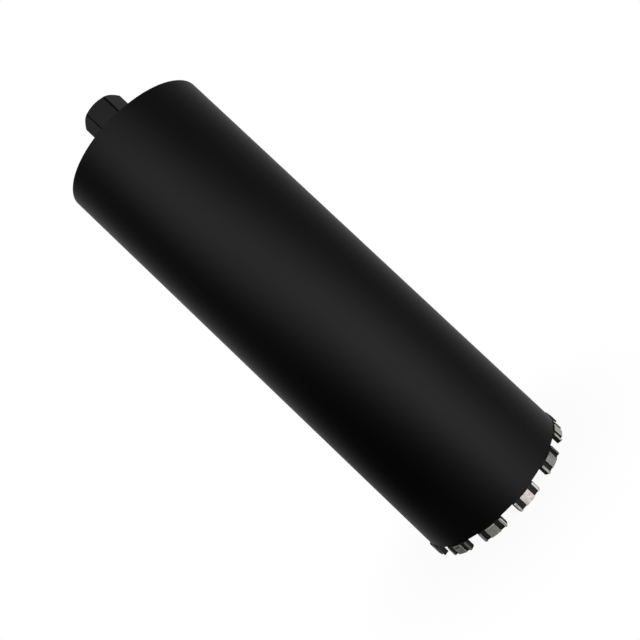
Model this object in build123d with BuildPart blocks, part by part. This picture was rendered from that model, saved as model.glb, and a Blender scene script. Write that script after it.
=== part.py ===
"""Wet diamond core bit for concrete: a thin steel barrel with a segmented crown and a threaded hub.

Millimetres, +Z along the barrel towards the hub.  The origin is at the centre of the cutting plane,
so the bit stands on its crown.  Angles are counted from +X towards +Y.
"""
import os
from math import cos, radians, tan

from build123d import *

# Barrel
tube_diameter = 124.8
tube_wall = 2.0
tube_length = 355.6
rim_chamfer = 0.5

# Crown
segment_count = 13
segment_height = 7.0
segment_width = 19.2
first_segment_angle = -82.95
pad_width = 7.9
strip_width = 2.05
outside_clearance = 1.1
inside_clearance = 0.5
foot_overhang = 0.1
weld_land = 0.3
corner_radius = 1.3

# Back plate
plate_thickness = 8.0
plate_recess = 1.5
plate_clearance = 0.05

# Hub
hub_across_flats = 31.75
hub_length = 42.0
hub_foot_height = 6.0
hub_turning_inset = 0.5
hub_chamfer_angle = 30.0
spigot_diameter = 22.0
spigot_clearance = 0.05
bore_diameter = 13.5
bore_mouth_diameter = 17.0
bore_mouth_angle = 90.0

# Welds
hub_weld_leg = 4.0
plate_weld_leg = 2.5
plate_weld_crown = 0.4
plate_weld_margin = 0.3

# Radii and heights that follow
tube_radius = tube_diameter / 2
bore_of_tube = tube_radius - tube_wall
tube_end = segment_height + tube_length
plate_top = tube_end - plate_recess
plate_underside = plate_top - plate_thickness
hub_end = plate_top + hub_length
hub_apothem = hub_across_flats / 2
hub_corner = hub_apothem / cos(radians(30))
hub_turned_radius = hub_apothem - hub_turning_inset
hub_chamfer_drop = (hub_corner - hub_turned_radius) * tan(radians(hub_chamfer_angle))
hub_foot_top = plate_top + hub_foot_height


def finish(piece, name):
    """Label a finished piece and write it as its own STEP file."""
    piece.label = name
    export_step(piece, f"parts/{name}.step")


def make_barrel_tube():
    """Plain steel tube that stands on the segments, its outer edge broken at the hub end."""
    with BuildPart() as barrel_tube:
        with BuildSketch(Plane.XY.offset(segment_height)):
            Circle(tube_radius)
            Circle(bore_of_tube, mode=Mode.SUBTRACT)
        extrude(amount=tube_length)
        end_edges = barrel_tube.edges().filter_by(GeomType.CIRCLE).group_by(Axis.Z)[-1]
        chamfer(end_edges.sort_by(SortBy.RADIUS)[-1], rim_chamfer)
    return barrel_tube.part


def make_back_plate():
    """Turned disc that closes the barrel and takes the hub's spigot in its centre hole."""
    with BuildPart() as back_plate:
        with BuildSketch(Plane.XY.offset(plate_underside)):
            Circle(bore_of_tube - plate_clearance)
            Circle(spigot_diameter / 2 + spigot_clearance, mode=Mode.SUBTRACT)
        extrude(amount=plate_thickness)
    return back_plate.part


def make_threaded_hub():
    """Hexagon bar turned at both ends: a chamfered mouth, and a round foot above the plate's spigot.

    The bore has the thread's minor diameter and lets the water through to the core.
    """
    with BuildPart() as threaded_hub:
        with BuildSketch(Plane.XY.offset(plate_top)):
            RegularPolygon(radius=hub_apothem, side_count=6, major_radius=False)
        extrude(amount=hub_length)
        with BuildSketch(Plane.XZ):
            with BuildLine():
                Polyline(
                    (0, plate_top),
                    (hub_turned_radius, plate_top),
                    (hub_turned_radius, hub_foot_top),
                    (hub_corner, hub_foot_top + hub_chamfer_drop),
                    (hub_corner, hub_end - hub_chamfer_drop),
                    (hub_turned_radius, hub_end),
                    (0, hub_end),
                    close=True,
                )
            make_face()
        revolve(axis=Axis.Z, mode=Mode.INTERSECT)
        with BuildSketch(Plane.XY.offset(plate_underside)):
            Circle(spigot_diameter / 2)
        extrude(amount=plate_thickness)
        with Locations((0, 0, hub_end)):
            CounterSinkHole(
                radius=bore_diameter / 2,
                counter_sink_radius=bore_mouth_diameter / 2,
                counter_sink_angle=bore_mouth_angle,
            )
    return threaded_hub.part


def make_hub_weld():
    """Mitre fillet weld that runs round the hub's foot on the back plate."""
    with BuildPart() as hub_weld:
        with BuildSketch(Plane.XZ):
            with BuildLine():
                Polyline(
                    (hub_turned_radius, plate_top),
                    (hub_turned_radius + hub_weld_leg, plate_top),
                    (hub_turned_radius, plate_top + hub_weld_leg),
                    close=True,
                )
            make_face()
        revolve(axis=Axis.Z)
    return hub_weld.part


def make_plate_weld():
    """Seam that joins the sunken plate to the tube: up the tube's bore and over its end face.

    Its ridge stands just above the inner corner of the tube's end.
    """
    outer_toe = tube_radius - rim_chamfer - plate_weld_margin
    with BuildPart() as plate_weld:
        with BuildSketch(Plane.XZ):
            with BuildLine():
                Polyline(
                    (bore_of_tube - plate_weld_leg, plate_top),
                    (bore_of_tube, tube_end + plate_weld_crown),
                    (outer_toe, tube_end),
                    (bore_of_tube, tube_end),
                    (bore_of_tube, plate_top),
                    close=True,
                )
            make_face()
        revolve(axis=Axis.Z)
    return plate_weld.part


def make_segment():
    """Sintered diamond segment on the tube's end, made on the +X side.

    A foot as thick as the tube carries a wide pad and two end strips inside and outside,
    with two upright grooves between them, and its cutting corners are rounded.
    """
    groove_width = (segment_width - pad_width) / 2 - strip_width
    groove_middle = (pad_width + groove_width) / 2
    crown_outer = tube_radius + outside_clearance
    crown_inner = bore_of_tube - inside_clearance
    facing = Plane(origin=(0, 0, 0), x_dir=(0, 1, 0), z_dir=(1, 0, 0))
    with BuildPart() as segment:
        with BuildSketch(Plane.XY):
            Circle(crown_outer)
            Circle(crown_inner, mode=Mode.SUBTRACT)
            with Locations((crown_outer, groove_middle), (crown_outer, -groove_middle)):
                Rectangle(2 * tube_radius, groove_width, mode=Mode.SUBTRACT)
        extrude(amount=segment_height - weld_land)
        with BuildSketch(Plane.XY):
            Circle(tube_radius + foot_overhang)
            Circle(bore_of_tube - foot_overhang, mode=Mode.SUBTRACT)
        extrude(amount=segment_height)
        with BuildSketch(facing) as front:
            with Locations((0, segment_height / 2)):
                Rectangle(segment_width, segment_height)
            fillet(front.vertices().group_by(Axis.Z)[0], corner_radius)
        extrude(amount=crown_outer, mode=Mode.INTERSECT)
    return segment.part


os.makedirs("parts", exist_ok=True)
finish(make_barrel_tube(), "barrel_tube")
finish(make_back_plate(), "back_plate")
finish(make_threaded_hub(), "threaded_hub")
finish(make_hub_weld(), "hub_weld")
finish(make_plate_weld(), "plate_weld")
first_segment = make_segment()
for number in range(segment_count):
    with BuildPart() as turned_segment:
        add(first_segment, rotation=(0, 0, first_segment_angle + number * 360 / segment_count))
    finish(turned_segment.part, f"segment_{number + 1:02d}")
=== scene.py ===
# %% [markdown]
# # A wet diamond core bit
#
# A core bit cuts a round hole in concrete and leaves a core inside itself. It is a thin steel tube with
# a ring of diamond segments at its open end and, at the other, a welded plate with a threaded hub that
# screws onto the drill. The fixed frame brings every piece at its real size. These cells give the pieces
# their finish, and make new surfaces for those whose fine shape shows: the thread, the welds and the
# segments. All lengths are metres, +Z points from the crown to the hub, and the bit stands on its crown.

import bmesh
import bpy
import numpy as np
from mathutils import Matrix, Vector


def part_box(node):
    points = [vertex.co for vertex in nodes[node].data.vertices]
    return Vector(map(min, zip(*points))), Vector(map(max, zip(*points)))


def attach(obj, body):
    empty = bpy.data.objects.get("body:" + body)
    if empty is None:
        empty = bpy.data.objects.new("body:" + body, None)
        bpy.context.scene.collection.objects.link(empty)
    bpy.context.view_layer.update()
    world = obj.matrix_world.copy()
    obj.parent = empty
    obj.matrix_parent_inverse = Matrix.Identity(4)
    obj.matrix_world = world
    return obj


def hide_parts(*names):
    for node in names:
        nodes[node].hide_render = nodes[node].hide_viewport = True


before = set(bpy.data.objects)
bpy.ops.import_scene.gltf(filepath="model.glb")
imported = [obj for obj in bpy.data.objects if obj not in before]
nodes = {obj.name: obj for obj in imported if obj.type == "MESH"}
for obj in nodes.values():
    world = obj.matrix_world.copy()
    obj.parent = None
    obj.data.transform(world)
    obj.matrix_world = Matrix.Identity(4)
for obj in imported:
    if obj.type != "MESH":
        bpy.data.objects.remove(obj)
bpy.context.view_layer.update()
MM = 0.001

# %% [markdown]
# The frame's boxes give most of the measures that the new surfaces need, so these follow the solids if
# a size changes. What a box can't tell, such as the wall of the tube, is written once, in millimetres
# that are turned to metres.

# %% Measures of the barrel
tube_low, tube_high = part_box("barrel_tube")
plate_low, plate_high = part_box("back_plate")

TUBE_RADIUS = tube_high.x
TUBE_WALL = 2.0 * MM
TUBE_BORE = TUBE_RADIUS - TUBE_WALL
TUBE_FOOT = tube_low.z
TUBE_END = tube_high.z
PLATE_TOP = plate_high.z
print("tube radius, foot and end in mm:", [round(v / MM, 2) for v in (TUBE_RADIUS, TUBE_FOOT, TUBE_END)])

# %% [markdown]
# ## Shader maths as plain expressions
#
# A finish is mostly arithmetic: this much roughness, plus a little noise, less where it is rubbed. Nodes
# could be made and linked one by one, but then the sum is hard to see. A small class wraps a socket, so
# that such a sum reads as Python and adds its Math nodes by itself.


# %% Sockets that add, subtract, multiply and divide
class Term:
    """A socket of a node tree. The operators + - * / add Math nodes."""

    def __init__(self, shader, socket):
        self.shader = shader
        self.socket = socket

    def math(self, operation, *others):
        """A Math node on this value and up to two others."""
        values = dict(enumerate((self, *others)))
        return self.shader.node("ShaderNodeMath", {"operation": operation}, values)

    def __add__(self, other):
        return self.math("ADD", other)

    def __sub__(self, other):
        return self.math("SUBTRACT", other)

    def __rsub__(self, other):
        return self.math("MULTIPLY", -1.0).math("ADD", other)

    def __mul__(self, other):
        return self.math("MULTIPLY", other)

    def __truediv__(self, other):
        return self.math("DIVIDE", other)

    def at_least(self, other):
        return self.math("MAXIMUM", other)

    def at_most(self, other):
        return self.math("MINIMUM", other)

    def ramp(self, low, high, start=0.0, end=1.0):
        """A smooth step from start at low to end at high."""
        settings = {"interpolation_type": "SMOOTHSTEP"}
        values = {"Value": self, "From Min": low, "From Max": high, "To Min": start, "To Max": end}
        return self.shader.node("ShaderNodeMapRange", settings, values, "Result")

    __radd__ = __add__
    __rmul__ = __mul__


# %% [markdown]
# Every other node comes from one method of `Shader`. It sets the node's settings first, because they
# decide which sockets the node has, and then gives each socket a value or a link. The patterns that the
# finishes share, such as noise, are one line each on top of it.


# %% A node tree that makes its own nodes
class Shader:
    """A material's or the world's node tree."""

    def __init__(self, owner):
        owner.use_nodes = True
        self.tree = owner.node_tree
        self.tree.nodes.clear()

    def node(self, kind, settings=None, values=None, output=0):
        """Adds a node of that kind, sets its settings, then its sockets' values or links."""
        made = self.tree.nodes.new(kind)
        for name, value in (settings or {}).items():
            setattr(made, name, value)
        for name, value in (values or {}).items():
            if isinstance(value, Term):
                self.tree.links.new(value.socket, made.inputs[name])
            else:
                made.inputs[name].default_value = value
        return Term(self, made.outputs[output] if len(made.outputs) else None)

    def outputs(self, kind, values=None):
        """A node's outputs by name, as terms."""
        made = self.node(kind, values=values).socket.node
        return {socket.name: Term(self, socket) for socket in made.outputs}

    def position(self):
        """Object coordinates, in metres."""
        return self.node("ShaderNodeTexCoord", output="Object")

    def axes(self, vector):
        """The three parts of a vector, as three terms."""
        return self.outputs("ShaderNodeSeparateXYZ", {"Vector": vector}).values()

    def noise(self, vector, size, detail=2.0, roughness=0.5):
        """Soft noise from 0 to 1 with features of about that size in metres."""
        values = {"Vector": vector, "Scale": 1 / size, "Detail": detail, "Roughness": roughness}
        return self.node("ShaderNodeTexNoise", values=values, output="Fac")

    def cells(self, vector, size):
        """Distance to the nearest of many scattered points, which lie about that size apart."""
        values = {"Vector": vector, "Scale": 1 / size}
        return self.node("ShaderNodeTexVoronoi", values=values, output="Distance")

    def stretch(self, vector, scale):
        """The vector with each part multiplied, so that a pattern is drawn out."""
        return self.node("ShaderNodeMapping", values={"Vector": vector, "Scale": scale})

    def mix(self, factor, first, second):
        """A blend of two colours."""
        values = {"Factor": factor, 6: first, 7: second}
        return self.node("ShaderNodeMix", {"data_type": "RGBA"}, values, 2)

    def shaded(self, colour, shade):
        """A colour times a number that varies."""
        return self.node("ShaderNodeVectorMath", {"operation": "SCALE"}, {0: colour, "Scale": shade})

    def attribute(self, name):
        """A number that the piece's own mesh carries at each point."""
        return self.node("ShaderNodeAttribute", {"attribute_name": name}, output="Fac")

    def bump(self, height, depth, normal=None):
        """A normal that leans as if height, from 0 to 1, stood depth metres out of the surface."""
        values = {"Height": height, "Distance": depth}
        if normal is not None:
            values["Normal"] = normal
        return self.node("ShaderNodeBump", values=values, output="Normal")

    def surface(self, **values):
        """The principled surface and the material's output."""
        sockets = {name.replace("_", " "): value for name, value in values.items()}
        principled = self.node("ShaderNodeBsdfPrincipled", values=sockets)
        self.node("ShaderNodeOutputMaterial", values={"Surface": principled})


# %% Small helpers for finishes
def grey(level):
    """A neutral colour."""
    return (level, level, level, 1.0)


def new_shader(name):
    """An empty material and its node tree."""
    material = bpy.data.materials.new(name)
    return material, Shader(material)


def dress(piece, material):
    """Gives the whole piece one material."""
    piece.data.materials.clear()
    piece.data.materials.append(material)
    print(piece.name, "wears", material.name, "with", len(material.node_tree.nodes), "nodes")


# %% [markdown]
# ## The camera
#
# The bit is seen level with its middle and from about 44 cm away, so close that its crown looks larger
# than its hub. The camera leans over to its right by some 47 degrees, and so the standing bit runs
# across the picture from the upper left to the lower right. It could be aimed at a point, but three
# plain turns, in the order pan, tilt and lean, say how it stands and can each be changed alone. The lens
# is given by its focal length in picture points, and the optical centre lies a little off the middle.

# %% Place the camera
PICTURE_WIDTH = 640
SENSOR_WIDTH = 36.0
FOCAL_PIXELS = 591.72
OPTICAL_CENTRE = (312, 285)
CAMERA_DISTANCE = 7.0543 * TUBE_RADIUS
CAMERA_HEIGHT = 2.6309 * TUBE_RADIUS + TUBE_FOOT
CAMERA_PAN = np.radians(-1.7904)
CAMERA_TILT = np.radians(3.0925)
CAMERA_ROLL = np.radians(-46.6837)

lens = bpy.data.cameras.new("camera")
lens.sensor_width = SENSOR_WIDTH
lens.lens = FOCAL_PIXELS * SENSOR_WIDTH / PICTURE_WIDTH
lens.shift_x = (PICTURE_WIDTH / 2 - OPTICAL_CENTRE[0]) / PICTURE_WIDTH
lens.shift_y = (OPTICAL_CENTRE[1] - PICTURE_WIDTH / 2) / PICTURE_WIDTH
lens.clip_start = 10 * MM
camera = bpy.data.objects.new("camera", lens)
bpy.context.scene.collection.objects.link(camera)
camera.matrix_world = (
    Matrix.Translation((0, -CAMERA_DISTANCE, CAMERA_HEIGHT))
    @ Matrix.Rotation(np.pi / 2, 4, "X")
    @ Matrix.Rotation(CAMERA_PAN, 4, "Y")
    @ Matrix.Rotation(CAMERA_TILT, 4, "X")
    @ Matrix.Rotation(CAMERA_ROLL, 4, "Z")
)
bpy.context.scene.camera = camera
print("lens in mm:", round(lens.lens, 2))

# %% [markdown]
# ## The studio
#
# Black paint has hardly any colour of its own: what the eye reads is what it reflects. So the light on
# a black tube is designed as a set of reflections. Lamps could do this, but each would need its own
# shape and place. A world that is a function of the direction does it in a few lines, with soft steps
# and no noise. Its directions are an azimuth, 0 towards the camera and rising to the right, and an
# elevation above the horizon, both in degrees.

# %% Directions in the room
DEGREE = 180 / np.pi

world = bpy.data.worlds.new("studio")
world.cycles.sampling_method = "NONE"
bpy.context.scene.world = world
room = Shader(world)
right, away, up = room.axes(room.position())
azimuth = right.math("ARCTAN2", away * -1.0) * DEGREE
elevation = up.math("ARCSINE") * DEGREE
print("directions need", len(room.tree.nodes), "nodes")

# %% [markdown]
# A long soft panel stands before the bit and lays a broad dull gleam along the middle. The panel leans,
# so the gleam wanders from left to right on its way down. Its right side fades slowly. Its left side is
# tighter at the top and tightest at the foot, where the tube goes nearly black. Each fade is a smooth
# step between two angles.

# %% The panel that makes the gleam
PANEL = 1.30
PANEL_LOW_CENTRE = 18
PANEL_HIGH_CENTRE = -24
PANEL_LEAN = (1, 17)
PANEL_END = (25, 38)
RIGHT_FADE = 73
LEFT_FADE = 66
LEFT_FADE_LOW = 14
LEFT_FADE_HIGH = 48
NARROWS_BELOW = (-26, -6)
NARROWS_ABOVE = (8, 26)

offset = azimuth - elevation.ramp(*PANEL_LEAN, PANEL_LOW_CENTRE, PANEL_HIGH_CENTRE)
left_fade = elevation.ramp(*NARROWS_BELOW, LEFT_FADE_LOW, LEFT_FADE)
left_fade = left_fade + elevation.ramp(*NARROWS_ABOVE, 0, LEFT_FADE_HIGH - LEFT_FADE)
panel = (offset / left_fade).ramp(-1, 0) * offset.ramp(0, RIGHT_FADE, 1.0, 0.0)
panel = panel * elevation.math("ABSOLUTE").ramp(*PANEL_END, PANEL, 0.0)
print("panel's brightness:", PANEL)

# %% [markdown]
# The walls draw the tube's two sides. The right one grows pale slowly, all the way to the back. The left
# one does so only near the back, with a faint sky above it. Behind the bit the room is lightest, which
# leaves a light line along each side. The walls fade upwards and downwards, because a bright wall seen at
# a glancing angle would rim the tube's end with light. A ceiling high above reaches the plate and the
# hub's end, which would be pitch dark without it.

# %% The walls and the ceiling
RIGHT_WALL, RIGHT_WALL_SPAN = 0.42, (0, 180)
LEFT_WALL, LEFT_WALL_SPAN = 0.39, (-169, -92)
LEFT_SKY, LEFT_SKY_SPAN, LEFT_SKY_START = 0.09, (-61, 0), (-9, 0)
BACK_WALL, BACK_WALL_SPAN, BACK_WALL_END = 0.60, (152, 176), (30, 50)
CEILING, CEILING_SPAN = 0.90, (52, 80)
WALL_END = (40, 58)

slope = elevation.math("ABSOLUTE")
side_walls = azimuth.ramp(*RIGHT_WALL_SPAN, end=RIGHT_WALL) + azimuth.ramp(*LEFT_WALL_SPAN, LEFT_WALL, 0.0)
side_walls = side_walls * slope.ramp(*WALL_END, 1.0, 0.0)
left_sky = azimuth.ramp(*LEFT_SKY_SPAN, LEFT_SKY, 0.0) * elevation.ramp(*LEFT_SKY_START)
back_wall = azimuth.math("ABSOLUTE").ramp(*BACK_WALL_SPAN) * slope.ramp(*BACK_WALL_END, BACK_WALL, 0.0)
studio = panel + side_walls + left_sky + back_wall + elevation.ramp(*CEILING_SPAN, end=CEILING)
print("brightest wall:", max(RIGHT_WALL, LEFT_WALL, BACK_WALL), "ceiling:", CEILING)

# %% [markdown]
# Rays from the camera see plain white, so the background is white. Rays that leave a shiny surface see
# the room. Rays that leave a matt one see the room and an even fill, as under a soft light tent.

# %% What each kind of ray sees
MATT_FILL = 0.35

ray = room.outputs("ShaderNodeLightPath")
seen_by_others = (1 - ray["Is Camera Ray"]) * (studio + ray["Is Diffuse Ray"] * MATT_FILL)
brightness = ray["Is Camera Ray"] + seen_by_others
background = room.node("ShaderNodeBackground", values={"Color": grey(1.0), "Strength": brightness})
room.node("ShaderNodeOutputWorld", values={"Surface": background})
print("world nodes:", len(room.tree.nodes))

# %% [markdown]
# The floor is a plain pale board under the crown. White paint under a lamp would need more light than
# the bit can take, so the board's own glow makes it as white as the background, and near the bit enough
# matt white is mixed in to carry a soft shadow. A gloss sees only a little of it, because a strong white
# below would turn the foot of the tube grey.

# %% The board under the bit
BOARD_RADIUS = 0.17
BOARD_SIDES = 128
BOARD_WHITE = 0.8
BOARD_MATT = 0.06
BOARD_IN_GLOSS = 0.04
MATT_REACH = (0.3 * BOARD_RADIUS, 0.97 * BOARD_RADIUS)

turn = np.linspace(0, 2 * np.pi, BOARD_SIDES, endpoint=False)
board_points = np.column_stack([BOARD_RADIUS * np.cos(turn), BOARD_RADIUS * np.sin(turn), 0 * turn])
board_mesh = bpy.data.meshes.new("board")
board_mesh.from_pydata(board_points.tolist(), [], [list(range(BOARD_SIDES))])
board = bpy.data.objects.new("board", board_mesh)
bpy.context.scene.collection.objects.link(board)
print("board across in mm:", 2 * BOARD_RADIUS / MM)

# %% [markdown]
# The board's material is four shaders, mixed by the kind of ray: the camera sees glow with a share of
# matt white that fades outwards, a gloss sees a thin glow and otherwise passes through, and every other
# ray meets plain matt white.

# %% The board's finish
board_material, board_paint = new_shader("pale_board")
ray = board_paint.outputs("ShaderNodeLightPath")
to_gloss = ray["Is Glossy Ray"].at_least(ray["Is Transmission Ray"])
where = {0: board_paint.position()}
reach = board_paint.node("ShaderNodeVectorMath", {"operation": "LENGTH"}, where, "Value")
matt_share = reach.ramp(*MATT_REACH, BOARD_MATT, 0.0)
white = board_paint.node("ShaderNodeBsdfDiffuse", values={"Color": grey(BOARD_WHITE)})
glow = board_paint.node("ShaderNodeEmission", values={"Color": grey(1.0), "Strength": 1.0})
clear = board_paint.node("ShaderNodeBsdfTransparent", values={"Color": grey(1.0)})


def blend_shaders(share, first, second):
    """The first shader at 0, the second at 1."""
    return board_paint.node("ShaderNodeMixShader", values={0: share, 1: first, 2: second})


for_camera = blend_shaders(matt_share, glow, white)
for_gloss = blend_shaders(to_gloss * BOARD_IN_GLOSS, clear, glow)
for_others = blend_shaders(to_gloss, white, for_gloss)
both = blend_shaders(ray["Is Camera Ray"], for_others, for_camera)
board_paint.node("ShaderNodeOutputMaterial", values={"Surface": both})
dress(board, board_material)

# %% [markdown]
# ## Surfaces from formulas
#
# Each new piece is a sheet of points on a grid: one number runs along a section of the piece, the other
# carries the section round or along. Bevels and cuts could be modelled on the solids, but whole arrays
# of numbers let a shape be written as one formula and keep its faces even. A sheet that closes on itself
# both ways, like a ring, needs no ends. One that closes only one way, like a bar, gets a flat face at
# each end. The volume that is printed is above zero only where the faces point out.


# %% Measure a mesh
def report_volume(name, mesh):
    """Prints the mesh's triangles, its signed volume and its open edges."""
    measure = bmesh.new()
    measure.from_mesh(mesh)
    triangles = sum(len(face.verts) - 2 for face in measure.faces)
    volume = measure.calc_volume(signed=True) / MM**3 / 1000
    open_edges = sum(not edge.is_manifold for edge in measure.edges)
    print(f"{name}: {triangles} triangles, {volume:.2f} cm3, open edges {open_edges}")
    measure.free()


# %% A grid of points becomes a mesh
def skin(name, points, sharp_degrees, ring=True):
    """Quads over points, shape (columns, section, 3). The section closes, and so do the columns of a ring.

    Seen by someone who looks along the columns, the section runs anticlockwise, so that faces point out.
    Edges sharper than the given angle stay crisp.
    """
    columns, rows = points.shape[:2]
    index = np.arange(columns * rows).reshape(columns, rows)
    here = index if ring else index[:-1]
    there = np.roll(index, -1, axis=0) if ring else index[1:]
    corners = (here, there, np.roll(there, -1, axis=1), np.roll(here, -1, axis=1))
    faces = np.stack([corner.ravel() for corner in corners], axis=1).tolist()
    if not ring:
        faces += [index[0].tolist(), index[-1, ::-1].tolist()]
    mesh = bpy.data.meshes.new(name)
    mesh.from_pydata(points.reshape(-1, 3), [], faces)
    mesh.shade_smooth()
    mesh.set_sharp_from_angle(angle=np.radians(sharp_degrees))
    piece = bpy.data.objects.new(name, mesh)
    bpy.context.scene.collection.objects.link(piece)
    report_volume(name, mesh)
    return piece


def mark(piece, name, values):
    """Stores one number a point, which the piece's material can read by that name."""
    stored = piece.data.attributes.new(name, "FLOAT", "POINT")
    stored.data.foreach_set("value", np.asarray(values, dtype=float).ravel())


# %% Formulas that the pieces share
def revolve(radius, height, turn):
    """Points of a section carried round Z: radius times cosine, radius times sine, height."""
    x = radius * np.cos(turn)[:, None]
    y = radius * np.sin(turn)[:, None]
    return np.stack([x, y, np.broadcast_to(height, x.shape)], axis=-1)


def smooth_step(value, low, high):
    """0 below low, 1 above high, and a soft S between: share squared times three less two shares."""
    share = np.clip((value - low) / (high - low), 0, 1)
    return share * share * (3 - 2 * share)


def along(*stops):
    """One row of numbers that visits the stops, each given as (value, steps from the stop before)."""
    runs = [np.linspace(before[0], after[0], after[1] + 1)[1:] for before, after in zip(stops, stops[1:])]
    return np.concatenate([[stops[0][0]], *runs])


# %% [markdown]
# ## The hub
#
# The hub is hexagon bar, turned at both ends. Where the turned cone meets the flats it leaves the curved
# edges that every nut has. A loft between outlines would blur them, so the section's rows follow that
# edge: in each column the flat ends at the height at which the cone reaches it. The bore carries a real
# helical thread, whose groove is as deep as the distance along the screw says.

# %% Measures of the hub
HUB_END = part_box("threaded_hub")[1].z
SPIGOT_END = plate_low.z
HUB_APOTHEM = 31.75 / 2 * MM
HUB_TURNED_RADIUS = HUB_APOTHEM - 0.5 * MM
HUB_FOOT_TOP = PLATE_TOP + 6.0 * MM
HUB_CHAMFER = np.radians(30)
HUB_CORNER_RADIUS = 0.55 * MM
SPIGOT_RADIUS = 11.0 * MM
BORE_RADIUS = 6.75 * MM
MOUTH_RADIUS = 8.5 * MM
THREAD_RADIUS = 7.94 * MM
THREAD_PITCH = 25.4 / 11 * MM
THREAD_DEPTH = 33 * MM
SIXTH = np.pi / 3
print("hub's length in mm:", round((HUB_END - PLATE_TOP) / MM, 2), "pitch:", round(THREAD_PITCH / MM, 3))

# %% [markdown]
# Equal steps round the hexagon would waste points on the flats and leave the corners coarse. So the
# angles are close together where the corners turn and wide apart between them.


# %% The hexagon's outline
def hexagon_turns(corner_steps=10, flat_steps=14):
    """Angles round the hexagon, and half the angle that a rounded corner takes up."""
    flat_reach = HUB_APOTHEM * np.tan(SIXTH / 2) - HUB_CORNER_RADIUS * np.tan(SIXTH / 2)
    corner_half = SIXTH / 2 - np.arctan(flat_reach / HUB_APOTHEM)
    stops = ((-corner_half, 0), (corner_half, corner_steps), (SIXTH - corner_half, flat_steps))
    one_sixth = along(*stops)[:-1]
    return (one_sixth + SIXTH * np.arange(6)[:, None]).ravel(), corner_half


def from_nearest_corner(turn):
    """The angle to the nearest of the corners, which are at 0, 60, ... degrees."""
    return np.mod(turn + SIXTH / 2, SIXTH) - SIXTH / 2


def hexagon_radius(turn, corner_half):
    """Distance of the outline from the axis.

    On a flat it is the apothem over the cosine of the angle to the flat's middle. In a corner it is the
    far crossing of the ray with the corner's circle, whose centre lies on the line to the corner.
    """
    from_corner = from_nearest_corner(turn)
    flat = HUB_APOTHEM / np.cos(SIXTH / 2 - np.abs(from_corner))
    centre = (HUB_APOTHEM - HUB_CORNER_RADIUS) / np.cos(SIXTH / 2)
    reach = (HUB_CORNER_RADIUS**2 - (centre * np.sin(from_corner)) ** 2).clip(0)
    corner = centre * np.cos(from_corner) + np.sqrt(reach)
    return np.where(np.abs(from_corner) <= corner_half, corner, flat)


# %% The threaded bore
ROWS_PER_PITCH = 18
ROOT_FLAT = THREAD_PITCH / 8


def bore_wall(turn, depth):
    """Radius of the bore at a depth below the mouth: the widest of the countersink, thread and drill.

    The thread's phase is the depth over the pitch plus the share of a turn, so that the groove winds
    down as a screw. Its flanks stand at 60 degrees to each other, and its root is cut flat.
    """
    phase = np.mod(depth / THREAD_PITCH + turn[:, None] / (2 * np.pi), 1)
    from_root = np.abs(phase - 0.5) * THREAD_PITCH
    groove = THREAD_RADIUS - (from_root - ROOT_FLAT / 2).clip(0) / np.tan(SIXTH / 2)
    run_out = 1 - smooth_step(depth, THREAD_DEPTH - THREAD_PITCH, THREAD_DEPTH)
    return np.maximum(BORE_RADIUS + (groove - BORE_RADIUS).clip(0) * run_out, MOUTH_RADIUS - depth)


print("bore and thread across in mm:", 2 * BORE_RADIUS / MM, round(2 * THREAD_RADIUS / MM, 2))

# %% [markdown]
# The rows of the section are a list of runs, each with its radius and its height: the spigot, the turned
# foot, the lower cone, the flat, the upper cone, the mouth's face and the bore. The rounded corners are
# marked with a number, `edge`, so that their finish can differ and they can carry painted shade.

# %% Build the hub
EDGE_MARGIN = 0.4 * MM


def make_hub():
    """The hub's section, walked up the outside, over the mouth and down the bore, then carried round."""
    turn, corner_half = hexagon_turns()
    outline = hexagon_radius(turn, corner_half)[:, None]
    cone_rise = (outline - HUB_TURNED_RADIUS) * np.tan(HUB_CHAMFER)
    even = np.ones_like(outline)
    cone = np.linspace(0, 1, 6)[None, :]
    flat = np.linspace(0, 1, 9)[None, 1:-1]
    foot = along((PLATE_TOP, 0), (HUB_FOOT_TOP, 4))[None, :-1]
    mouth = along((HUB_TURNED_RADIUS, 0), (MOUTH_RADIUS, 5))[None, 1:-1]
    depth = np.arange(0, THREAD_DEPTH, THREAD_PITCH / ROWS_PER_PITCH)[None, :]
    flat_low = HUB_FOOT_TOP + cone_rise
    flat_high = HUB_END - cone_rise
    runs = (
        (even * [[BORE_RADIUS, SPIGOT_RADIUS, SPIGOT_RADIUS]], even * [[SPIGOT_END, SPIGOT_END, PLATE_TOP]]),
        (even * HUB_TURNED_RADIUS * np.ones_like(foot), even * foot),
        (HUB_TURNED_RADIUS + (outline - HUB_TURNED_RADIUS) * cone, HUB_FOOT_TOP + cone_rise * cone),
        (outline * np.ones_like(flat), flat_low + (flat_high - flat_low) * flat),
        (outline + (HUB_TURNED_RADIUS - outline) * cone, flat_high + cone_rise * cone),
        (even * mouth, even * HUB_END * np.ones_like(mouth)),
        (bore_wall(turn, depth), even * (HUB_END - depth)),
    )
    radius, height = (np.hstack(part) for part in zip(*runs))
    piece = skin("hub", revolve(radius, height, turn), sharp_degrees=24)
    in_corner = np.abs(from_nearest_corner(turn)) <= corner_half
    mark(piece, "edge", in_corner[:, None] & (radius > HUB_TURNED_RADIUS + EDGE_MARGIN))
    return piece


hub = make_hub()

# %% [markdown]
# ## The welds
#
# A hand-laid bead is a row of overlapping puddles, like a stack of coins pushed over. A bump in the
# material could hint at it, but the ripples show against the light, so they are cut into the mesh. Each
# puddle is a lobe of a sine's absolute value, which gives soft tops and sharp valleys, and its front bows
# forwards, because the pool freezes last in the middle. The toes wander a little, as a hand does.

# %% Ripples and a wandering hand
RIPPLE_PITCH = 2.4 * MM
RIPPLE_DEPTH = 0.26 * MM
RIPPLE_BOW = 0.45
PHASE_WANDER = 0.35
DEPTH_WANDER = 0.25
rng = np.random.default_rng(7)


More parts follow.
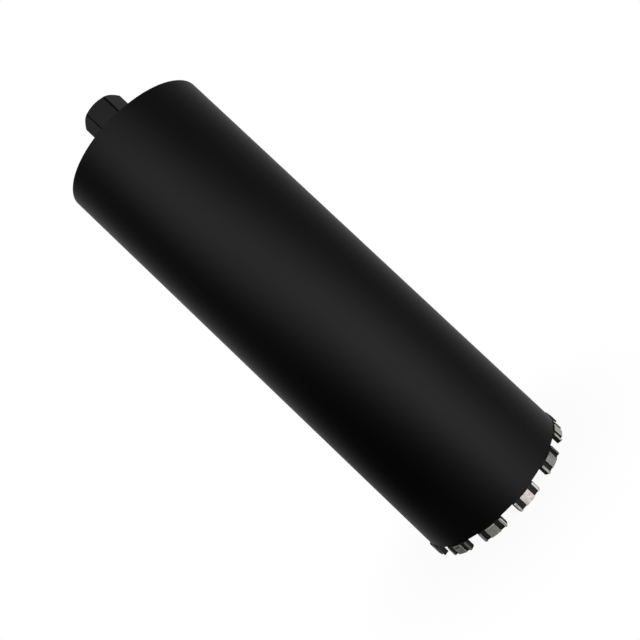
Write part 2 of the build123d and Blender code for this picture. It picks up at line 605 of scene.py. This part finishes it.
def wander(turn, amount, waves=(2, 3, 5, 9, 14)):
    """A smooth closed random curve: a few sines with whole numbers of waves round the ring."""
    shares = rng.normal(size=len(waves)) / np.sqrt(len(waves))
    starts = rng.uniform(0, 2 * np.pi, len(waves))
    return amount * (shares * np.sin(np.outer(turn, waves) + starts)).sum(axis=1)[:, None]


def ripples(turn, across, count):
    """Depth of the valleys between puddles: 1 less the absolute sine of the phase, none at the toes."""
    bow = RIPPLE_BOW * (1 - (2 * across - 1) ** 2)
    phase = count * turn[:, None] / (2 * np.pi) + bow + wander(turn, PHASE_WANDER)
    fade = np.sqrt(np.sin(np.pi * across).clip(0))
    return RIPPLE_DEPTH * (1 - np.abs(np.sin(np.pi * phase))) * fade * (1 + wander(turn, DEPTH_WANDER))


print("ripples in 10 mm of weld:", round(10 * MM / RIPPLE_PITCH, 1))

# %% A bead between two toes
COLUMNS_PER_RIPPLE = 11
WELD_ROWS = 15
TOE_SWELL = 0.12 * MM


def weld_bead(name, mean_radius, toes, crest, root):
    """A bead between two toes, each (radius, height), bulging towards crest as a quadratic Bezier curve.

    The ripples are cut along the line from the crest to the root. The section closes through the root,
    and it is turned round at the end, because the toes are given clockwise.
    """
    count = round(2 * np.pi * mean_radius / RIPPLE_PITCH)
    turn = np.linspace(0, 2 * np.pi, count * COLUMNS_PER_RIPPLE, endpoint=False)
    across = np.linspace(0, 1, WELD_ROWS)[None, :]
    inward = np.array(root) - np.array(crest)
    inward = inward / np.linalg.norm(inward)
    cut = ripples(turn, across, count)
    swell = wander(turn, TOE_SWELL) * np.sin(np.pi * across)
    parts = []
    for axis in range(2):
        curve = (1 - across) ** 2 * toes[0][axis] + 2 * across * (1 - across) * crest[axis]
        curve = curve + across**2 * toes[1][axis] + (cut - swell.clip(None, 0)) * inward[axis]
        parts.append(np.hstack([curve, np.full((len(turn), 1), root[axis])]))
    return skin(name, revolve(*parts, turn)[:, ::-1], sharp_degrees=60)


# %% [markdown]
# The hub's bead fills the corner between the hub's foot and the plate. The rim's bead fills the step
# from the sunken plate to the tube's end. Both roots lie a hair inside the metal, so that no gap shows.

# %% Lay both beads
HUB_WELD_LEG = 4.0 * MM
HUB_WELD_BULGE = 0.52 * HUB_WELD_LEG
PLATE_WELD_LEG = 2.5 * MM
PLATE_WELD_CROWN = 1.25 * MM
PLATE_WELD_MARGIN = 0.8 * MM
HAIR = 0.02 * MM

hub_toes = (
    (HUB_TURNED_RADIUS - HAIR, PLATE_TOP + HUB_WELD_LEG),
    (HUB_TURNED_RADIUS + HUB_WELD_LEG, PLATE_TOP),
)
hub_crest = (HUB_TURNED_RADIUS + HUB_WELD_BULGE, PLATE_TOP + HUB_WELD_BULGE)
hub_root = (HUB_TURNED_RADIUS - 0.3 * MM, PLATE_TOP - HAIR)
hub_bead = weld_bead("hub_bead", HUB_TURNED_RADIUS, hub_toes, hub_crest, hub_root)

rim_toes = (
    (TUBE_BORE - PLATE_WELD_LEG, PLATE_TOP),
    (TUBE_RADIUS - PLATE_WELD_MARGIN, TUBE_END - HAIR / 2),
)
rim_crest = (TUBE_BORE - 0.1 * MM, TUBE_END + PLATE_WELD_CROWN)
rim_root = (TUBE_BORE + 0.1 * MM, PLATE_TOP - HAIR)
rim_bead = weld_bead("rim_bead", TUBE_BORE, rim_toes, rim_crest, rim_root)

# %% [markdown]
# ## The diamond segments
#
# A segment is pressed from metal powder and diamond grit, and welded to the tube's end. Its foot is as
# thick as the tube. Outside and inside, a pad in the middle and a strip at each end stand proud, with
# two upright grooves between them for the water. Boxes could be cut and bevelled for this, but pressed
# edges are soft and slightly sloped. So the section, walked round the wall of the crown, is carried along
# the segment's width, and the radius of its two faces changes as it goes.

# %% Measures of the crown
SEGMENT_COUNT = 13
FIRST_SEGMENT = np.radians(-82.95)
SEGMENT_HALF_WIDTH = 19.2 / 2 * MM
PAD_HALF_WIDTH = 7.9 / 2 * MM
STRIP_WIDTH = 2.05 * MM
STRIP_START = SEGMENT_HALF_WIDTH - STRIP_WIDTH
CROWN_OUTER = TUBE_RADIUS + 1.1 * MM
CROWN_INNER = TUBE_BORE - 0.5 * MM
FOOT_OUTER = TUBE_RADIUS + 0.1 * MM
FOOT_INNER = TUBE_BORE - 0.1 * MM
WELD_LAND = 0.3 * MM
CUTTING_CORNER = 1.3 * MM
WALL_SLOPE = 0.16 * MM
EDGE_ROUND = 0.28 * MM
END_ROUND = 0.8 * MM
GRIT = 0.035 * MM
print("crown's outer and inner radius in mm:", [round(v / MM, 2) for v in (CROWN_OUTER, CROWN_INNER)])


# %% Places along the width
def segment_stations():
    """Places along the width: close together at the groove walls and in the rounded cutting corners."""
    middle = along(
        (0, 0),
        (PAD_HALF_WIDTH - WALL_SLOPE, 22),
        (PAD_HALF_WIDTH + WALL_SLOPE, 6),
        (STRIP_START - WALL_SLOPE, 14),
        (STRIP_START + WALL_SLOPE, 6),
        (SEGMENT_HALF_WIDTH - CUTTING_CORNER, 4),
    )
    round_the_corner = np.sin(np.linspace(0, np.pi / 2, 13)[1:])
    corner = SEGMENT_HALF_WIDTH - CUTTING_CORNER + CUTTING_CORNER * round_the_corner
    half = np.concatenate([middle, corner])
    return np.concatenate([-half[:0:-1], half])


def proud(width):
    """1 on the pad and the strips, 0 in the grooves, with short slopes between."""
    beyond_pad = smooth_step(width, PAD_HALF_WIDTH - WALL_SLOPE, PAD_HALF_WIDTH + WALL_SLOPE)
    on_strip = smooth_step(width, STRIP_START - WALL_SLOPE, STRIP_START + WALL_SLOPE)
    return 1 - beyond_pad + on_strip


def rounding(distance):
    """How far the quarter-round at the segment's end has dropped at a distance before the end."""
    share = (1 - distance / END_ROUND).clip(0, 1)
    return END_ROUND * (1 - np.sqrt(1 - share**2))


stations = segment_stations()
print("stations along a segment:", len(stations))

# %% [markdown]
# The powder leaves the faces a little rough. A texture could only shade this, so the points themselves
# are moved inwards by blurred random heights, never more than a few hundredths of a millimetre.


# %% Powder-metal roughness
def grit(shape, seed, passes=2):
    """Random heights from -1 to 1 on the grid, blurred with their neighbours a few times."""
    heights = np.random.default_rng(seed).normal(size=shape)
    for _ in range(passes):
        heights = heights + np.roll(heights, 1, axis=0) + np.roll(heights, -1, axis=0)
        heights = heights + np.roll(heights, 1, axis=1) + np.roll(heights, -1, axis=1)
    return (heights / np.abs(heights).max()).clip(-1, 1)


# %% The section of a segment
def segment_section(outer, inner, low):
    """Radius and height of the section's rows: down the outer face, in underneath and up the inner face.

    The edges above and below each face are quarter-rounds: a sine on one measure and one less a cosine
    on the other. The first and last row are the corners of the foot.
    """
    quarter = np.linspace(0, np.pi / 2, 6)[None, :]
    down = np.linspace(0, 1, 34)[None, 1:-1]
    under = np.linspace(0, 1, 16)[None, 1:-1]
    bend, fall = np.sin(quarter), EDGE_ROUND * (1 - np.cos(quarter))
    lift = EDGE_ROUND * (1 - bend)
    one = np.ones_like(outer)
    shoulder = TUBE_FOOT - WELD_LAND
    high, start = shoulder - EDGE_ROUND, low + EDGE_ROUND
    runs = (
        (one * FOOT_OUTER, one * TUBE_FOOT),
        (FOOT_OUTER + (outer - FOOT_OUTER) * bend, shoulder - fall * one),
        (outer * np.ones_like(down), high + (start - high) * down),
        (outer - fall, low + lift),
        (outer - EDGE_ROUND + (inner - outer + 2 * EDGE_ROUND) * under, low * np.ones_like(under)),
        (inner + fall[:, ::-1], low + lift[:, ::-1]),
        (inner * np.ones_like(down), start + (high - start) * down),
        (FOOT_INNER + (inner - FOOT_INNER) * bend[:, ::-1], shoulder - fall[:, ::-1] * one),
        (one * FOOT_INNER, one * TUBE_FOOT),
    )
    return (np.hstack(part) for part in zip(*runs))


# %% Build the segments
def make_segment(number):
    """One segment: its two faces lie between the foot's and the crown's radius, as the width says."""
    place = stations[:, None]
    width = np.abs(place)
    bulge = proud(width)
    end_round = rounding(SEGMENT_HALF_WIDTH - width)
    outer = FOOT_OUTER + (CROWN_OUTER - FOOT_OUTER) * bulge - end_round
    inner = FOOT_INNER - (FOOT_INNER - CROWN_INNER) * bulge + end_round / 2
    into_corner = (width - SEGMENT_HALF_WIDTH + CUTTING_CORNER).clip(0, CUTTING_CORNER)
    low = CUTTING_CORNER - np.sqrt(CUTTING_CORNER**2 - into_corner**2)
    radius, height = segment_section(outer, inner, low)

    rough = GRIT * (1 + grit(radius.shape, number)) / 2
    below_land = smooth_step(TUBE_FOOT - height, 0, WELD_LAND)
    radius = radius - np.sign(radius - (CROWN_OUTER + CROWN_INNER) / 2) * rough * below_land
    height = height + rough * (radius < outer - EDGE_ROUND) * (radius > inner + EDGE_ROUND)

    reach = np.sqrt(radius**2 - place**2)
    centre = FIRST_SEGMENT + number * 2 * np.pi / SEGMENT_COUNT
    x = reach * np.cos(centre) - place * np.sin(centre)
    y = reach * np.sin(centre) + place * np.cos(centre)
    points = np.stack([x, y, height], axis=-1)[:, ::-1]
    return skin(f"diamond_segment_{number + 1:02d}", points, sharp_degrees=50, ring=False)


segments = [make_segment(number) for number in range(SEGMENT_COUNT)]

# %% [markdown]
# ## Black paint
#
# The bit is sprayed satin black over steel. One flat colour would look like plastic, because close up
# such paint has a fine orange peel, slow changes in how dull it is, specks of dust under it and small
# rubs. All of it is faint, and the bump is kept to hundredths of a millimetre. The function below gives
# the three values that every black finish here starts from.

# %% Spray paint as three values
CLOUD = 30 * MM
PEEL = 0.9 * MM
GRAIN = 0.18 * MM
RUB = 9 * MM
RUB_DRAWN_OUT = (1.0, 1.0, 6.0)
DUST_APART = 6 * MM
PAINT_SPECULAR = 0.30


def paint_values(shader, colour, dullness, depth):
    """Colour, roughness and normal of satin spray paint with orange peel, dust and rubs."""
    place = shader.position()
    cloud = shader.noise(place, CLOUD, 3)
    fine = shader.noise(place, PEEL, 2)
    grain = shader.noise(place, GRAIN, 2)
    rub = shader.noise(shader.stretch(place, RUB_DRAWN_OUT), RUB, 4, 0.6).ramp(0.60, 0.78)
    speck = shader.cells(place, DUST_APART).ramp(0.018, 0.035, 1.0, 0.0)
    shade = (cloud - 0.5) * 0.25 + (grain - 0.5) * 0.3 + speck * 0.8 + 1.0
    roughness = (cloud - 0.5) * 0.06 + (grain - 0.5) * 0.05 - rub * 0.03 + dullness
    leaning = shader.bump(fine * 0.7 + grain * 0.3 + speck * 0.8, depth)
    return shader.shaded(colour, shade), roughness, leaning


print("orange peel and grain in mm:", PEEL / MM, GRAIN / MM)

# %% [markdown]
# The welds are painted over as they were laid. A bead could share the barrel's finish, but paint lies
# thick in its valleys and dries duller there, so it has one of its own.

# %% Paint the beads
BEAD_COLOUR = (0.002, 0.002, 0.002)
BEAD_DULLNESS = 0.65
BEAD_PEEL = 0.02 * MM


def weld_black():
    """Dull black all over."""
    material, paint = new_shader("painted_weld")
    tone, roughness, leaning = paint_values(paint, BEAD_COLOUR, BEAD_DULLNESS, BEAD_PEEL)
    paint.surface(Base_Color=tone, Roughness=roughness, Normal=leaning, Specular_IOR_Level=PAINT_SPECULAR)
    return material


bead_paint = weld_black()
dress(hub_bead, bead_paint)
dress(rim_bead, bead_paint)

# %% [markdown]
# The hub's paint is a little glossier than the barrel's. Its rounded hexagon corners carry painted shade:
# they are made matt, metallic and nearly black, so that they read as dark lines. A second material would
# need its own faces there. Instead the number `edge` drives the change, and because a black metal has no
# sheen of its own, unlike paint, a corner is made metallic to turn it dark.

# %% Paint the hub
HUB_COLOUR = (0.003, 0.0029, 0.0029)
HUB_DULLNESS = 0.33
HUB_PEEL = 0.012 * MM
HUB_SPECULAR = 0.32
# Painted shade: the near-black colour that draws the hexagon's corners as dark lines.
CORNER_PAINTED_SHADE = grey(0.0005)
CORNER_DULLER = 0.4


def hub_black():
    """Satin black, with painted shade on the corners: matt, metallic and nearly black there."""
    material, paint = new_shader("hub_black_paint")
    edge = paint.attribute("edge")
    tone, roughness, leaning = paint_values(paint, HUB_COLOUR, HUB_DULLNESS, HUB_PEEL)
    paint.surface(
        Base_Color=paint.mix(edge, tone, CORNER_PAINTED_SHADE),
        Metallic=edge,
        Roughness=roughness + edge * CORNER_DULLER,
        Normal=leaning,
        Specular_IOR_Level=HUB_SPECULAR,
    )
    return material


dress(hub, hub_black())

# %% [markdown]
# Some patterns run round the bit, such as the plate's turned rings, the drawn lines of rolled steel and
# the grinder's scratches. They could be painted on an unwrapped map, but the bit is round, so its angle,
# height and radius can be worked out at every point and serve as the map.


# %% The place on a round bit
def unrolled(shader):
    """(arc length from the front, height, radius) as a vector, and the radius and height as terms.

    The arc is the arctangent's angle times the tube's radius, and its seam lies at the back.
    """
    x, y, z = shader.axes(shader.position())
    arc = x.math("ARCTAN2", y * -1.0) * TUBE_RADIUS
    radius = (x * x + y * y).math("SQRT")
    return shader.node("ShaderNodeCombineXYZ", values={"X": arc, "Y": z, "Z": radius}), radius, z


# %% [markdown]
# The plate under its paint was faced on a lathe, and the fine rings that the tool left still show. They
# are a bump, since at a few hundredths of a millimetre they are too shallow for the mesh to be worth it.

# %% Paint the plate
PLATE_COLOUR = (0.012, 0.0118, 0.0116)
PLATE_DULLNESS = 0.42
PLATE_PEEL = 0.012 * MM
RING_PITCH = 0.8 * MM
RING_DEPTH = 0.012 * MM


def turned_black():
    """Satin black over lathe rings, which are the sine of the radius."""
    material, paint = new_shader("turned_black_paint")
    _, radius, _ = unrolled(paint)
    tone, roughness, leaning = paint_values(paint, PLATE_COLOUR, PLATE_DULLNESS, PLATE_PEEL)
    rings = (radius * (2 * np.pi / RING_PITCH)).math("SINE") * 0.5 + 0.5
    leaning = paint.bump(rings, RING_DEPTH, normal=leaning)
    paint.surface(Base_Color=tone, Roughness=roughness, Normal=leaning, Specular_IOR_Level=PAINT_SPECULAR)
    return material


dress(nodes["back_plate"], turned_black())

# %% [markdown]
# ## The barrel, outside and in
#
# The tube keeps its CAD mesh, so one material holds both of its sides, and the radius says which is
# which. Outside it is satin black. Inside it is bare rolled steel with lines drawn along its rolling and
# patches of mill scale, and the spray reaches in only near the mouth, up to an uneven border. The cut
# rim at the hub's end is rougher and so duller.

# %% Bare rolled steel
SCALE_PATCH = 6 * MM
ROLLED_LINE = 0.5 * MM
LINES_DRAWN_OUT = (1.0, 1 / 30, 1.0)
DARK_SCALE = (0.085, 0.082, 0.080, 1.0)
LIGHT_STEEL = (0.23, 0.21, 0.19, 1.0)


def rolled_steel(paint, place):
    """Colour, roughness and line height of rolled steel with mill scale."""
    lines = paint.noise(paint.stretch(place, LINES_DRAWN_OUT), ROLLED_LINE, 3, 0.6)
    scale = paint.noise(paint.position(), SCALE_PATCH, 4, 0.6)
    steel = paint.mix(scale.ramp(0.35, 0.65), DARK_SCALE, LIGHT_STEEL)
    return steel, (lines - 0.5) * 0.2 + (scale - 0.5) * 0.3 + 0.5, lines


# %% Paint the barrel
BARREL_COLOUR = (0.0006, 0.0006, 0.0006)
BARREL_DULLNESS = 0.38
BARREL_PEEL = 0.010 * MM
OVERSPRAY = (TUBE_FOOT + 10 * MM, TUBE_FOOT + 60 * MM)
OVERSPRAY_DRIFT = 50 * MM
BORE_SKIN = (TUBE_BORE + 0.2 * MM, TUBE_BORE + 0.5 * MM)
RIM_SKIN = (TUBE_END - 0.6 * MM, TUBE_END - 0.4 * MM)
RIM_DULLER = 0.5


def barrel_black():
    """Satin black where the tube is sprayed, rolled steel on the rest of its bore."""
    material, paint = new_shader("satin_black_paint")
    place, radius, height = unrolled(paint)
    tone, roughness, leaning = paint_values(paint, BARREL_COLOUR, BARREL_DULLNESS, BARREL_PEEL)
    steel, steel_roughness, lines = rolled_steel(paint, place)
    drift = (paint.noise(paint.position(), 14 * MM, 4) - 0.5) * OVERSPRAY_DRIFT
    bare = radius.ramp(*BORE_SKIN, 1.0, 0.0) * (height + drift).ramp(*OVERSPRAY)
    paint.surface(
        Base_Color=paint.mix(bare, tone, steel),
        Metallic=bare * 0.6,
        Roughness=bare * (steel_roughness - roughness) + roughness + height.ramp(*RIM_SKIN) * RIM_DULLER,
        Normal=paint.bump(lines * bare, 0.03 * MM, normal=leaning),
        Specular_IOR_Level=PAINT_SPECULAR,
    )
    return material


dress(nodes["barrel_tube"], barrel_black())

# %% [markdown]
# ## Ground diamond segments
#
# The crown is painted with the rest and then dressed on a grinder, which bares the metal wherever a face
# stands proud and leaves the paint in the grooves and on the ends. Two materials would meet in a line as
# straight as the mesh. So one material holds both finishes, and the distance from the axis says which
# shows, with a ragged line between them.

# %% Where the grinder reached
GROUND_RADIUS = CROWN_OUTER - 0.30 * MM
GROUND_BORE = CROWN_INNER + 0.12 * MM
GROUND_UNDERSIDE = (0.12 * MM, 0.22 * MM)
LINE_BLUR = 0.05 * MM
RAGGED = 0.10 * MM
RAGGED_SIZE = 0.5 * MM


def ground_share(metal, radius, height):
    """1 on the outer, inner and lower faces, 0 where paint is left, times the piece's own number."""
    ragged = (metal.noise(metal.position(), RAGGED_SIZE, 3) - 0.5) * RAGGED
    outside = (radius + ragged).ramp(GROUND_RADIUS - LINE_BLUR, GROUND_RADIUS + LINE_BLUR)
    inside = (radius + ragged).ramp(GROUND_BORE - LINE_BLUR, GROUND_BORE + LINE_BLUR, 1.0, 0.0)
    bottom = (height + ragged).ramp(*GROUND_UNDERSIDE, 1.0, 0.0)
    return outside.at_least(inside).at_least(bottom) * metal.attribute("ground")


print("ground outside beyond a radius in mm:", round(GROUND_RADIUS / MM, 2))

# %% [markdown]
# The bare metal is pressed powder: mottled, with pores, and with diamond crystals that catch the light as
# pale dots. Grinding leaves scratches round the crown, fourteen times as long as they are apart. Two numbers
# vary from segment to segment: `grinding_and_light` sets how bright the metal is, partly as the grinding
# left it and partly as painted light and shade for how the studio's light falls on that segment, and `warm`
# says how much of its grey turns to a faint coppery blush.

# %% Pressed and ground metal
SCRATCH = 0.12 * MM
SCRATCH_DRAWN_OUT = (1 / 14, 1.0, 1.0)
MOTTLE = 1.1 * MM
PATCH = 3.5 * MM
CRYSTALS_APART = 0.55 * MM
PORE = 0.25 * MM
BRIGHTEST = 1.25
COOL_METAL = (0.72, 0.73, 0.68, 1.0)
PALE_METAL = (0.82, 0.80, 0.77, 1.0)
COPPERY_METAL = (0.83, 0.745, 0.69, 1.0)


def pressed_metal(metal, place):
    """Colour, roughness and relief of the ground powder metal."""
    spot = metal.position()
    scratches = metal.noise(metal.stretch(place, SCRATCH_DRAWN_OUT), SCRATCH, 3, 0.6)
    mottle = metal.noise(spot, MOTTLE, 4, 0.65)
    patch = metal.noise(spot, PATCH, 2)
    crystal = metal.cells(spot, CRYSTALS_APART).ramp(0.10, 0.22, 1.0, 0.0)
    pore = metal.noise(spot, PORE, 2).ramp(0.62, 0.72)
    shade = (mottle - 0.5) * 1.8 + (patch - 0.5) * 0.6 + (scratches - 0.5) * 0.5
    # Scaled by each segment's brightness, which holds painted light and shade as well as its grinding.
    shade = (shade + crystal * 0.25 - pore * 0.3 + 0.96) * metal.attribute("grinding_and_light")
    blush = metal.mix(patch.ramp(0.42, 0.60), PALE_METAL, COPPERY_METAL)
    tint = metal.mix(metal.attribute("warm"), COOL_METAL, blush)
    roughness = (mottle - 0.5) * 0.25 + (scratches - 0.5) * 0.1 + 0.38
    relief = scratches * 0.4 + crystal * 0.6 - pore * 0.5
    return metal.shaded(tint, shade.at_most(BRIGHTEST)), roughness, relief


# %% Paint and bare metal in one material
SEGMENT_PAINT = (0.016, 0.0150, 0.0143)
SEGMENT_DULLNESS = 0.42
GROUND_METALLIC = 0.85


def ground_metal():
    """Bare pressed metal where it is ground, black paint elsewhere."""
    material, metal = new_shader("ground_segment")
    place, radius, height = unrolled(metal)
    bare = ground_share(metal, radius, height)
    metal_tone, metal_roughness, relief = pressed_metal(metal, place)
    paint_tone, paint_roughness, leaning = paint_values(metal, SEGMENT_PAINT, SEGMENT_DULLNESS, BARREL_PEEL)
    metal.surface(
        Base_Color=metal.mix(bare, paint_tone, metal_tone),
        Metallic=bare * GROUND_METALLIC,
        Roughness=bare * (metal_roughness - paint_roughness) + paint_roughness,
        Normal=metal.bump(relief, 0.03 * MM, normal=leaning),
        Specular_IOR_Level=PAINT_SPECULAR,
    )
    return material


segment_metal = ground_metal()
for segment in segments:
    dress(segment, segment_metal)

# %% [markdown]
# No two segments come off the grinder alike. Each has its own brightness and warmth, the wheel hardly
# touched some of the end strips, and one pad has a shallow pit with paint left in it. The brightness is
# partly painted light and shade, set for how the light falls on each segment. These are numbers on the
# points of each mesh, which `ground`, `grinding_and_light` and `warm` bring to the one material.

# %% How each segment was ground
# Each segment's brightness: partly its grinding, partly painted light and shade for how it faces the light.
GRINDING_AND_LIGHT = (1.15, 0.78, 1.34, 0.9, 0.7, 1.0, 0.8, 0.95, 0.75, 0.9, 0.24, 0.84, 1.26)
WARMTH = (1.0, 0.0, 0.4, 0.7, 0.1, 0.8, 0.3, 0.6, 0.2, 0.5, 0.2, 0.2, 0.1)
MISSED_STRIPS = {2: (1,), 13: (-1,), 12: (-1, 1)}
MISSED_SHARE = 0.3
PITTED_SEGMENT = 12
PIT_HEIGHT = 5.3 * MM
PIT_HALF_WIDTH = 1.9 * MM
PIT_HALF_HEIGHT = 0.4 * MM

for number, (segment, grinding_and_light, warm) in enumerate(zip(segments, GRINDING_AND_LIGHT, WARMTH), start=1):
    points = np.empty(3 * len(segment.data.vertices))
    segment.data.vertices.foreach_get("co", points)
    height = points.reshape(len(stations), -1, 3)[:, :, 2]
    ground = np.ones_like(height)
    for side in MISSED_STRIPS.get(number, ()):
        ground[side * stations > STRIP_START - WALL_SLOPE] = MISSED_SHARE
    if number == PITTED_SEGMENT:
        beside_pit = np.abs(stations[:, None]) >= PIT_HALF_WIDTH
        ground[~beside_pit & (np.abs(height - PIT_HEIGHT) < PIT_HALF_HEIGHT)] = 0.0
    mark(segment, "ground", ground)
    mark(segment, "grinding_and_light", np.full(height.size, grinding_and_light))
    mark(segment, "warm", np.full(height.size, warm))
print("segments with strips that the wheel missed:", sorted(MISSED_STRIPS))

# %% [markdown]
# ## Hand over
#
# Each new piece stands for its CAD node, which is hidden, and rides on the one rigid body. The table also
# lists a slot name for each piece, which nothing here reads.

# %% Hand the pieces over
stands_for = {
    "threaded_hub": (hub, "hub_paint"),
    "hub_weld": (hub_bead, "hub_paint"),
    "plate_weld": (rim_bead, "barrel_paint"),
}
for number, segment in enumerate(segments, start=1):
    stands_for[f"segment_{number:02d}"] = (segment, "segment_matrix")
for node, (piece, slot) in stands_for.items():
    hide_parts(node)
    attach(piece, "root")
print("pieces that stand for a node:", len(stands_for))

# %% [markdown]
# The colours are shown as they are written.

# %% Finish
bpy.context.scene.view_settings.view_transform = "Standard"
